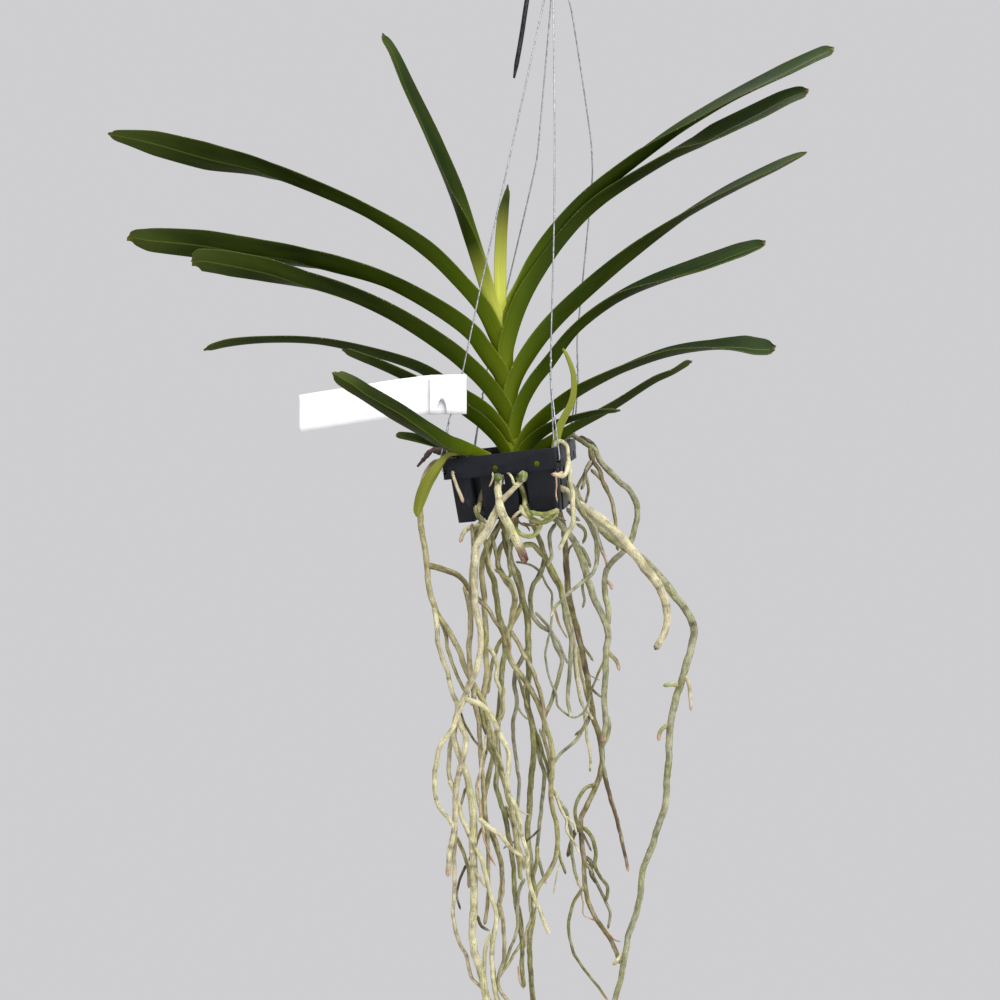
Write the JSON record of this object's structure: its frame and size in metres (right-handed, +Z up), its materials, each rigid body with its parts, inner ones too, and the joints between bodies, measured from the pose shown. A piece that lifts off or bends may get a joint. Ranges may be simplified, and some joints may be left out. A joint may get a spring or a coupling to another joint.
{
  "type": "papilionanda orchid in hanging basket",
  "caption": "Strap-leaved epiphytic orchid growing bare-rooted in a small square slotted plastic basket, hung from a steel hook by twisted wires, with long aerial roots and a blank tag.",
  "frame": {"origin": "inside top of the hook's bend, where the hook bears on what it hangs from", "axes": "+Z up, +X to the right of the leaf fan seen from the front, -Y towards the viewer"},
  "size_m": [0.4575, 0.1131, 0.7236],
  "materials": {
    "basket_plastic": "satin, dark slate",
    "hook_steel": "dark, weathered",
    "wire_steel": "galvanised",
    "label_film": "smooth white film, left bare",
    "leaf": "leathery, waxy green",
    "stem": "waxy yellow-green",
    "root": "dull grey velamen"
  },
  "bodies": {
    "root": {"basket": "basket_plastic", "hook": "hook_steel", "wire_front_left": "wire_steel", "wire_back_left": "wire_steel", "wire_front_right": "wire_steel", "wire_back_right": "wire_steel", "label": "label_film", "stem": "stem", "leaf_left_1": "leaf", "leaf_left_2": "leaf", "leaf_left_3": "leaf", "leaf_left_4": "leaf", "leaf_left_5": "leaf", "leaf_low_front": "leaf", "leaf_low_small": "leaf", "leaf_low_drooping": "leaf", "leaf_crown_left": "leaf", "leaf_crown_young": "leaf", "leaf_right_1": "leaf", "leaf_right_2": "leaf", "leaf_right_3": "leaf", "leaf_right_4": "leaf", "leaf_right_5": "leaf", "leaf_right_6": "leaf", "leaf_right_7": "leaf", "leaf_low_right": "leaf", "roots_left": "root", "root_front_red": "root", "roots_front_pale": "root", "roots_front_left": "root", "root_rim_hole": "root", "roots_middle_left": "root", "root_middle_dark": "root", "roots_middle_pale": "root", "roots_middle_right": "root", "roots_right_pale": "root", "roots_right_brown": "root", "roots_right_long": "root", "root_right_thick": "root", "roots_over_rim": "root", "roots_front_right": "root", "roots_front_low": "root"}
  },
  "joints": []
}
